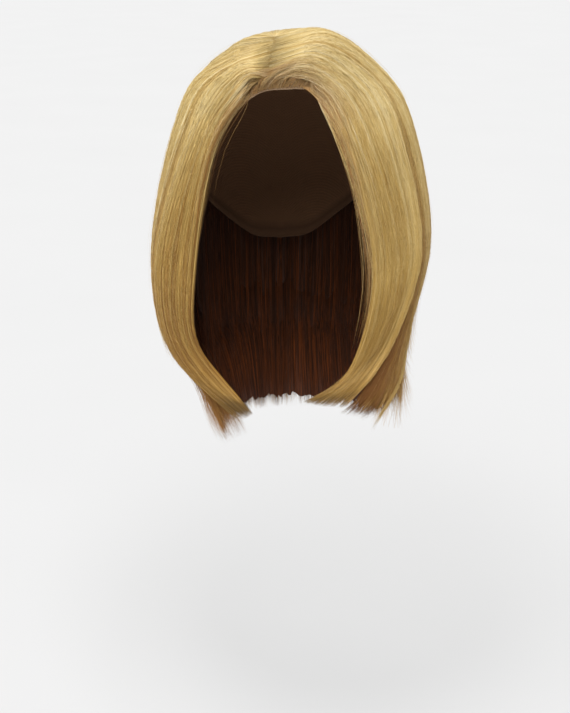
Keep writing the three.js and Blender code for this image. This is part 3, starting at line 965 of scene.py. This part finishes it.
# short strands that fill out the ends, through the thickness of a panel
def tipStrands(panel, grid):
    count = panel["tips"]
    t = evenSteps(combing["tipStations"])
    place = anyFrom(0.0, 2.0, count)
    last = np.minimum(hairEnd(panel, place) - np.abs(around(0, 0.016, count)) + 0.006, 1.0)
    first = last - anyFrom(0.10, 0.2, count)
    run = mix(first, last, t)
    place = np.clip(place + around(0, 1.4, count) / panel["rowWidth"] * t, 0, 2)
    outer = onGrid(grid, place, run)
    outer = raised(outer, lockHeight(panel, place, run))
    inner = innerSide(panel, outer, place, run)
    sunk = anyFrom(0, 1, count)
    paths = mix(outer, inner, sunk[..., None])
    tone = streakTone(panel, place) + toneAndLightAlong(panel, run, place) + around(0, 0.08, count)
    wide = panel["halfWide"] * anyFrom(0.7, 1.1, count) * thinning(t, 0.6, 0.35)
    # painted shade: tips lying deeper in the panel turn towards brown
    return strandSet(paths, wide, tone, run, 0.45 * sunk)


# roots along the lace: they rise from the hairline and turn over into the front panels
hairline = {
    "hairFrontRight": {"count": 800, "turns": (-33.0, 14.0), "places": (1.2, -0.24), "joins": (0.12, 0.33),
                       "bow": 1.15, "lifts": (6.0, 6.0), "leans": (4.0, 9.0), "spread": 1.0,
                       "brownShare": 0.8},
    "hairFrontLeft": {"count": 680, "turns": (-15.0, -60.0), "places": (0.95, -0.02), "joins": (0.10, 0.40),
                      "bow": 1.0, "lifts": (6.0, 2.0), "leans": (-4.0, -3.0), "spread": 1.3,
                      "brownShare": 0.6},
}
roots = {
    "stations": 15,
    "bunch": 9,              # roots that keep together
    "halfWide": 0.13,
    "backs": (9.0, 5.0),     # how far behind its root a hair turns over
    "shade": 0.8,
    "ends": (0.55, 1.05),
    "onPanel": np.array([0.0, 0.1, 0.22, 0.38, 0.56, 0.78, 1.0]),
    "hung": 5.0,             # how far the hair past the panel's edge lies below the form
}


def hairlineStrands(name, panel, grid):
    look = hairline[name]
    stations, count = roots["stations"], look["count"]
    paths, runs, shades, places = [], [], [], []
    reach = np.linspace(0, 1, 91)
    shares = ((np.arange(count) + rng.uniform(0, 1, count)) / count) ** look["spread"]
    # the roots stand in bunches, and a bunch's hairs keep together
    bunches = np.clip(rng.normal(0, 1, (count // roots["bunch"] + 1, 6)), -2, 2)
    own = bunches[np.arange(count) // roots["bunch"]]
    for share, bunch in zip(shares, own):
        vary = np.clip(bunch + rng.normal(0, 0.3, 6), -2.2, 2.2)
        turn = mix(*look["turns"], share) + 0.5 * vary[0]
        down = float(edgeAngle(turn)) - math.degrees((0.6 + rng.exponential(2.4)) / 100)
        root = headPoint(turn, down, 1.0)
        back = mix(*roots["backs"], share) * (0.95 + 0.25 * vary[1])
        lean = mix(*look["leans"], share) * (1 + 0.22 * vary[2])
        high = 1.4 + mix(*look["lifts"], share ** 0.5) * (0.62 + 0.22 * vary[3])
        rise = headPoint(turn + lean, down - math.degrees(back / 100), high)
        turned = share ** look["bow"]
        place = mix(*look["places"], turned) + mix(0.07, 0.14, share) * vary[4]
        place = max(place, look["places"][1] - 0.08)
        join = mix(*look["joins"], turned) + rng.normal(0, 0.02)
        end = min(rng.uniform(*roots["ends"]), 0.985)
        along = mix(join, end, roots["onPanel"])
        # hair at the temple hangs inside the panel's front edge and draws back to it
        draw = rng.uniform(-0.08, 0.10)
        across = mix(place, max(place, 0.02), ease(0.34 + draw, 0.56 + draw, along))
        onPanel = onGrid(grid, across, along)
        height = lockHeight(panel, np.clip(across, 0, 2), along) + streakHeight(panel, across)
        height = height + 0.3 + rng.normal(0, 0.25)
        height = height - roots["hung"] * np.clip(-across, 0, 0.4) / 0.34
        onPanel = raised(onPanel, height)
        fine = smoothPath([root, rise, *onPanel], len(reach))
        steps = alongStrand(fine, stations)[0]
        paths.append(np.stack([np.interp(steps, reach, fine[:, axis]) for axis in range(3)], axis=-1))
        runs.append(np.interp(steps, [0, 0.25, 1], [0, join + 0.05, end]))
        places.append(max(place, 0))
        isBrown = rng.uniform() < look["brownShare"] * ease(0.25, 0.8, share)
        brownAndShadedHair = rng.uniform(0.3, 0.85) if isBrown else 0.0
        shades.append(np.maximum(roots["shade"] * rng.uniform(0.5, 1.1) * (1 - ease(0.06, 0.34, steps)),
                                 brownAndShadedHair * (1 - ease(0.3, 0.8, steps))))
    paths = clearOfHead(np.array(paths), 1.2)
    t = evenSteps(stations)
    wide = roots["halfWide"] * anyFrom(0.75, 1.2, count) * mix(0.6, 1.0, ease(0, 0.15, t))
    wide = wide * thinning(t, 0.7, 0.3)
    run = np.array(runs)
    places = np.array(places)[:, None]
    tone = streakTone(panel, places) + 0.09 * own[:, 5:] + around(0, 0.06, count)
    tone = tone + toneAndLightAlong(panel, run, places)
    return smoothOnes(strandSet(paths, wide, tone, run, np.clip(np.array(shades), 0, 0.9)), 0.35)


# the pale lock that hooks in below the right side layer
hookLock = {
    "strands": 130,
    "stations": 10,
    "halfWide": 0.17,
    "placeTop": 0.95,
    "placeTip": 0.46,
    "runTop": 0.62,
    "runTip": (0.92, 1.0),
    "spread": 4.2,          # half width of the lock
    "drop": 7.0,            # of its tip below the panel's own
    "proud": 1.2,
    "tone": 0.66,
}


def hookStrands(panel, grid):
    count = hookLock["strands"]
    t = evenSteps(hookLock["stations"])
    run = hookLock["runTop"] + anyFrom(-0.1, 0.06, count) * (1 - t)
    run = run + (anyFrom(*hookLock["runTip"], count) - hookLock["runTop"]) * t
    aside = around(0, hookLock["spread"], count) / panel["rowWidth"] * thinning(t, 0.4, 0.3)
    place = mix(hookLock["placeTop"], hookLock["placeTip"], ease(0.75, 1.0, run)) + aside
    paths = onGrid(grid, place, np.minimum(run, 1))
    high = hookLock["proud"] * ease(0, 0.4, t) + around(0, 0.5, count) - 2.0 * (1 - ease(0, 0.35, t))
    paths = raised(paths, high)
    paths[..., 2] -= hookLock["drop"] * ease(0.9, 1.0, run) * anyFrom(0.5, 1.1, count)
    tone = around(hookLock["tone"], 0.08, count)
    wide = hookLock["halfWide"] * anyFrom(0.75, 1.1, count) * thinning(t, 0.7, 0.35)
    return strandSet(paths, wide, tone, 0.5 + 0.25 * t + 0 * run)


# the brown, wispy lock that hangs below the left front panel
lowLock = {
    "strands": 340,
    "stations": 10,
    "halfWide": 0.17,
    "places": (-0.42, 0.24),
    "runTop": 0.70,
    "sunk": 4.0,                # how far it lies inside the panel's form
    "spread": (-13.0, 15.0),    # of its ends, outwards and inwards
    "drop": 2.0,                # of its tip below the panel's own
    "frizz": 1.6,
    "tone": 0.32,
    "brown": 0.55,
}


def lowStrands(panel, grid):
    count = lowLock["strands"]
    t = evenSteps(lowLock["stations"])
    last = 1 - np.minimum(rng.exponential(0.014, count), 0.06)[:, None]
    run = mix(lowLock["runTop"], last, t)
    phase = anyFrom(0, 2 * np.pi, count)
    sway = lowLock["frizz"] * np.sin(2 * np.pi * anyFrom(0.6, 1.6, count) * t + phase) * ease(0, 0.6, t)
    place = anyFrom(*lowLock["places"], count) + sway / panel["rowWidth"]
    paths = onGrid(grid, place, run)
    inwards = anyFrom(0, lowLock["sunk"], count) + anyFrom(*lowLock["spread"], count) * ease(0.25, 1, t)
    paths = raised(paths, -inwards)
    paths[..., 2] -= lowLock["drop"] * ease(0.85, 1.0, run) * anyFrom(0.2, 1.2, count)
    tone = around(lowLock["tone"], 0.12, count)
    wide = lowLock["halfWide"] * anyFrom(0.7, 1.1, count) * thinning(t, 0.6, 0.3)
    depth = np.clip(around(lowLock["brown"], 0.2, count), 0, 0.8)
    return strandSet(paths, wide, tone, run, depth)


# strands on the inner side, seen through the face opening, coloured dark brown as painted shade
def innerStrands(panel, grid):
    count = panel["inner"]
    place = anyFrom(0.03, 1.97, count)
    first = anyFrom(0.36, 0.6, count)
    last = (1 - np.minimum(rng.exponential(0.035, count), 0.15))[:, None] * hairEnd(panel, place)
    t = evenSteps(combing["innerStations"])
    run = mix(first, last, t)
    place = np.clip(place + around(0, 1.2, count) / panel["rowWidth"] * t, 0.01, 1.99)
    outer = bodySide(panel, grid, place, run)
    paths = innerSide(panel, outer, place, run)
    paths = raised(paths, -anyFrom(-0.1, 0.8, count))
    paths = clearOfHead(paths, head["capSeat"])
    wide = combing["innerWide"] * anyFrom(0.7, 1.2, count) * mix(0.5, 1.0, ease(0, 0.1, t))
    wide = wide * thinning(t, 0.7, 0.3)
    tone = around(panel["innerTone"], combing["innerSpread"], count)
    return strandSet(paths, wide, tone, run)


def innerTips(panel, grid):
    count = panel["innerTips"]
    t = evenSteps(combing["tipStations"])
    place = anyFrom(0.02, 1.98, count)
    last = hairEnd(panel, place) - np.minimum(rng.exponential(0.014, count), 0.12)[:, None]
    run = last - anyFrom(0.10, 0.2, count) * (1 - t)
    swayed = np.clip(place + around(0, 1.4, count) / panel["rowWidth"] * t, 0, 2)
    paths = innerSide(panel, bodySide(panel, grid, swayed, run), place, run)
    paths = raised(paths, -anyFrom(0.0, 0.8, count))
    wide = combing["innerTipWide"] * anyFrom(0.7, 1.2, count) * thinning(t, 0.5, 0.3)
    tone = around(combing["innerTipTone"], combing["innerSpread"], count)
    return strandSet(paths, wide, tone, run)


grids = {}
inside = []
for name, panel in panels.items():
    grids[name] = panelGrid(panel)
    makeStreaks(panel)
    bodyPiece(name, panel, grids[name])
    strands = [combedStrands(panel, grids[name]), tipStrands(panel, grids[name])]
    if name in hairline:
        strands.append(hairlineStrands(name, panel, grids[name]))
    if name == "hairSideRight":
        strands.append(hookStrands(panel, grids[name]))
    if name == "hairSideLeft":
        strands.append(lowStrands(panel, grids[name]))
    strandPiece(name, strands, hairFinish, [panel["node"]])
    inside += [innerStrands(panel, grids[name]), innerTips(panel, grids[name])]
strandPiece("hairInside", inside, innerShadeFinish)


# loose hairs: short ones at the temples, and flyaways over the surface
looseHair = {
    "stations": 9,
    "temples": {
        "hairFrontLeft": {"count": 190, "turns": (-34, -59), "stray": 0.10, "aside": 3.2,
                          "lengths": (0.10, 0.26), "brown": 0.5},
        "hairFrontRight": {"count": 140, "turns": (4, 15), "stray": 0.03, "aside": 2.4,
                           "lengths": (0.14, 0.34), "brown": 0.6},
    },
    "overAll": {"count": 48, "places": (0.0, 2.0), "starts": (0.03, 0.6), "lengths": (0.12, 0.4),
                "rises": (0.5, 4.0)},
    "frizzRight": {"count": 220, "places": (0.3, 1.2), "starts": (0.55, 0.92), "lengths": (0.06, 0.16),
                   "rises": (1.5, 9.0)},
    "flicksRight": {"count": 70, "places": (0.9, 1.5), "starts": (0.80, 0.88), "lengths": (0.08, 0.13),
                    "rises": (5.0, 12.0)},
    "frizzLeft": {"count": 50, "places": (0.0, 0.8), "starts": (0.6, 0.93), "lengths": (0.06, 0.16),
                  "rises": (1.0, 5.0)},
}


# roots on the lace, ends along the panel's front edge or a little inside it
def templeHairs(name, look):
    grid, stations, count = grids[name], looseHair["stations"], look["count"]
    paths, runs = [], []
    for _ in range(count):
        share = rng.uniform(0, 1)
        turn = mix(*look["turns"], share)
        down = float(edgeAngle(turn)) - math.degrees(rng.uniform(0.3, 4) / 100)
        root = headPoint(turn, down, 1.0)
        join = mix(0.28, 0.44, share)
        length = rng.uniform(*look["lengths"])
        stray = -min(rng.exponential(look["stray"]), 0.3)
        along = join + length * np.array([0.12, 0.4, 0.7, 1.0])
        across = stray * np.array([0.6, 1.0, 0.9, 0.4]) + rng.normal(0, 0.03, 4)
        points = onGrid(grid, across, along)
        points = raised(points, -rng.uniform(0, 4))
        aside = min(rng.exponential(look["aside"]), 3 * look["aside"])
        points[:, 0] -= panels[name]["side"] * aside * np.array([0.4, 1.0, 1.0, 0.7])
        paths.append(smoothPath([root, *points], stations))
        runs.append(np.linspace(0.02, join + length, stations))
    paths = clearOfHead(np.array(paths), 1.4)
    t = evenSteps(stations)
    wide = anyFrom(0.08, 0.13, count) * thinning(t, 0.5, 0.3)
    tone = around(0.5, 0.2, count)
    depth = np.clip(around(look["brown"], 0.25, count), 0, 0.9)
    return smoothOnes(strandSet(paths, wide, tone, np.array(runs), depth), 0.9)


def flyaways(name, look):
    panel, grid, count = panels[name], grids[name], look["count"]
    t = evenSteps(looseHair["stations"])
    place = anyFrom(*look["places"], count) + around(0, 3.0, count) / panel["rowWidth"] * t ** 1.5
    run = np.minimum(anyFrom(*look["starts"], count) + anyFrom(*look["lengths"], count) * t, 1.0)
    bend = anyFrom(1.2, 2.4, count)
    height = 0.4 + anyFrom(*look["rises"], count) * t ** bend
    paths = onGrid(grid, place, run)
    paths = raised(paths, lockHeight(panel, np.clip(place, 0, 2), run) + height)
    paths = clearOfHead(paths, seatClear(panel, paths[..., 2]) + 1.2)
    wide = anyFrom(0.08, 0.14, count) * thinning(t, 0.5, 0.3)
    tone = panel["tone"] + around(0, 0.15, count)
    return strandSet(paths, wide, tone, run)


def makeLooseHair():
    sets = [templeHairs(name, look) for name, look in looseHair["temples"].items()]
    sets += [flyaways(name, looseHair["overAll"]) for name in panels]
    sets.append(flyaways("hairSideRight", looseHair["frizzRight"]))
    sets.append(flyaways("hairSideRight", looseHair["flicksRight"]))
    sets.append(flyaways("hairSideLeft", looseHair["frizzLeft"]))
    strandPiece("looseHairs", sets, hairFinish)


makeLooseHair()


# inner hair round the neck, coloured dark brown as painted shade
napeLook = {
    "z": [-262, -230, -190, -150, -125, -103],
    "wall": [1.2, 4.5, 6, 6.5, 6, 2.5],
    "draw": [0.93, 0.96, 0.99, 1, 1, 1],
    "turn": 98.0,
    "hang": -140.0,         # below this the hair hangs straight down
    "top": -104,
    "columns": 57,
    "rows": 22,
    "bodyLong": (106, 122),
    "strands": 850,
    "stations": 10,
    "halfWide": 0.26,
    "tone": 0.34,
    "insideShare": 0.65,    # strands on the inner side
    "strandEnd": -232,
    "ragged": 18,           # how far most strands hang below that, and how far at the most
    "raggedMost": 48,
}


def napePoint(turn, z, share):
    down = np.degrees(np.arccos((np.maximum(z, napeLook["hang"]) + 100) / 100))
    wall = between(napeLook, "z", "wall", z)
    draw = between(napeLook, "z", "draw", z)
    points = headPoint(turn, down, head["capSeat"] + wall * share)
    return np.stack([points[..., 0] * draw, points[..., 1] * draw, z + 0 * draw], axis=-1)


def makeNape():
    columns, top = napeLook["columns"], napeLook["top"]
    ends = (napeLook["turn"], 360 - napeLook["turn"])
    turns = np.linspace(*ends, columns)[:, None]
    heights = top - evenSteps(napeLook["rows"]) * anyFrom(*napeLook["bodyLong"], columns)
    flow = np.stack([np.broadcast_to(turns * 1.6, heights.shape), -heights], axis=-1).reshape(-1, 2)
    outer = napePoint(turns, heights, 0.80)
    inner = napePoint(turns, heights, 0.20)
    # the whole nape body carries the painted shade of dark brown
    bodySlab("hairNapeBody", outer, inner, flow, np.ones(2 * heights.size), np.full(2 * heights.size, 0.5),
             "hair_nape")
    count = napeLook["strands"]
    turn = anyFrom(*ends, count)
    start = anyFrom(top - 24, top, count)
    ragged = np.minimum(rng.exponential(napeLook["ragged"], count), napeLook["raggedMost"])
    bottom = napeLook["strandEnd"] - ragged[:, None]
    t = evenSteps(napeLook["stations"])
    z = mix(start, bottom, t)
    sway = around(0, 1.6, count) * ease(0.2, 1, t)
    isInside = rng.uniform(0, 1, count) < napeLook["insideShare"]
    share = np.where(isInside, rng.uniform(0.0, 0.2, count), rng.uniform(0.8, 1.0, count))[:, None]
    paths = napePoint(turn + sway, z, share + 0 * z)
    wide = napeLook["halfWide"] * anyFrom(0.8, 1.2, count) * thinning(t, 0.7, 0.3)
    tone = around(napeLook["tone"], combing["innerSpread"], count)
    strands = strandSet(paths, wide, tone, t + 0 * z)
    strandPiece("hairNape", [strands], innerShadeFinish, ["hair_nape"])


makeNape()


# a net of three sets of threads at 60 degrees
def netHeight(finish, flow, cell, thread):
    lines = None
    for turn in (0, 60, 120):
        ahead = (math.cos(math.radians(turn)) / cell, math.sin(math.radians(turn)) / cell, 0)
        across = finish.node("ShaderNodeVectorMath", {"operation": "DOT_PRODUCT"},
                             {0: flow, 1: ahead}, "Value")
        wave = finish.node("ShaderNodeMath", {"operation": "PINGPONG"}, {0: across, 1: 0.5})
        line = 1 - finish.rise(wave, thread * 0.3, thread)
        lines = line if lines is None else lines.maths("MAXIMUM", lines, line)
    return lines


def meshPoints(mesh):
    points = np.empty(len(mesh.vertices) * 3)
    mesh.vertices.foreach_get("co", points)
    return points.reshape(-1, 3)


# moves a sheet's points on to the head, with its flat pattern in millimetres as its map
def drawOnHead(piece, drawn, flat):
    mesh = piece.data
    mesh.vertices.foreach_set("co", (drawn * mm).ravel())
    layer = mesh.uv_layers.active
    layer.name = "flow"
    corner = np.empty(len(mesh.loops), int)
    mesh.loops.foreach_get("vertex_index", corner)
    layer.data.foreach_set("uv", flat[corner].ravel())


def finishSheet(piece, thick, finish):
    wall = piece.modifiers.new("wall", "SOLIDIFY")
    wall.thickness = thick * mm
    wall.offset = 1.0
    bpy.ops.object.modifier_apply(modifier="wall")
    bpy.ops.object.shade_smooth()
    piece.data.materials.append(finish)


# cap: a sphere drawn to the head form and cut to the cap's edge, then given its wall
capLook = {
    "segments": 120,
    "rings": 30,
    "mesh": 2.4,          # across one cell of the net
    "thread": 0.32,
    "net": (112, 80, 55),
    "gap": 0.62,          # how much darker the gaps of the net are
    "band": (76, 52, 34),
    "bandDepth": 7.0,
}
headRound = 98.0          # mean radius of the head, for the flat patterns


def capFinish():
    finish = Finish("stretchNet")
    flow = finish.node("ShaderNodeUVMap", {"uv_map": "flow"}, {})
    net = netHeight(finish, flow, capLook["mesh"], capLook["thread"])
    band = finish.attribute("band")
    fuzz = finish.node("ShaderNodeTexNoise", {}, {"Vector": flow, "Scale": 1.3, "Detail": 3.0})
    gap = colour(*[c * capLook["gap"] for c in capLook["net"]])
    paint = finish.blend(net, gap, colour(*capLook["net"]))
    paint = finish.blend(band, paint, colour(*capLook["band"]))
    paint = finish.blend(0.35, paint, fuzz, "OVERLAY")
    height = net * (1 - band) + fuzz * 0.3
    bump = finish.node("ShaderNodeBump", {}, {"Height": height, "Strength": 0.7, "Distance": 0.0008})
    return finish.surface({"Base Color": paint, "Roughness": 0.85, "Specular IOR Level": 0.2,
                           "Normal": bump})


def makeCap():
    bpy.ops.object.select_all(action="DESELECT")
    segments, rings = capLook["segments"], capLook["rings"]
    bpy.ops.mesh.primitive_uv_sphere_add(segments=segments, ring_count=rings, radius=1.0)
    cap = bpy.context.object
    cap.name = "capNet"
    # the sphere's lower pole goes, and what is left is drawn along its meridians to the cap's edge
    bpy.ops.object.mode_set(mode="EDIT")
    bpy.ops.mesh.select_all(action="DESELECT")
    bpy.ops.object.mode_set(mode="OBJECT")
    cap.data.vertices[int(np.argmin(meshPoints(cap.data)[:, 2]))].select = True
    bpy.ops.object.mode_set(mode="EDIT")
    bpy.ops.mesh.select_mode(type="VERT")
    bpy.ops.mesh.delete(type="VERT")
    bpy.ops.object.mode_set(mode="OBJECT")
    points = meshPoints(cap.data)
    down = np.degrees(np.arccos(np.clip(points[:, 2], -1, 1)))
    turn = np.degrees(np.arctan2(points[:, 0], -points[:, 1]))
    share = down / (180 - 180 / rings)
    angle = capAngle(turn) * share
    # threads follow the head from the crown out
    ahead = np.stack([np.sin(np.radians(turn)), -np.cos(np.radians(turn))], axis=-1)
    drawOnHead(cap, headPoint(turn, angle, 0.0), np.radians(angle)[:, None] * headRound * ahead)
    addAttribute(cap, "band", ease(1 - capLook["bandDepth"] / 120, 1 - capLook["bandDepth"] / 150, share))
    finishSheet(cap, head["capWall"], capFinish())
    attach(cap, "root")
    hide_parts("cap")


# lace: a grid laid on the forehead from its front edge back to the seam
def laceFinish():
    finish = Finish("fineLace")
    flow = finish.node("ShaderNodeUVMap", {"uv_map": "flow"}, {})
    net = netHeight(finish, flow, lace["mesh"], lace["thread"])
    knots = finish.attribute("knots")
    paint = finish.blend(knots, colour(*lace["net"]), colour(*lace["knot"]))
    cover = net.maths("MAXIMUM", 0.05 + net * 0.35, knots * 0.92)
    return finish.surface({"Base Color": paint, "Roughness": 0.8, "Alpha": cover, "Specular IOR Level": 0.2})


def makeLace():
    bpy.ops.object.select_all(action="DESELECT")
    bpy.ops.mesh.primitive_grid_add(x_subdivisions=lace["columns"], y_subdivisions=lace["rows"], size=2.0)
    strip = bpy.context.object
    strip.name = "laceStrip"
    points = meshPoints(strip.data)
    turn = points[:, 0] * lace["endTurn"]
    share = (1 - points[:, 1]) / 2           # 0 at the seam, 1 at the front edge
    angle = edgeAngle(turn) - laceAngle(turn) * (1 - share)
    flat = np.stack([np.radians(turn) * 80, np.radians(angle) * headRound], axis=-1)
    drawOnHead(strip, headPoint(turn, angle, lace["clear"]), flat)
    addAttribute(strip, "knots", 1 - ease(0.55, 0.88, share))
    bpy.ops.object.mode_set(mode="EDIT")
    bpy.ops.mesh.select_all(action="SELECT")
    bpy.ops.mesh.normals_make_consistent(inside=False)
    bpy.ops.object.mode_set(mode="OBJECT")
    finishSheet(strip, lace["thick"], laceFinish())
    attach(strip, "root")
    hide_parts("lace_front")


makeCap()
makeLace()
print("cap and lace made")
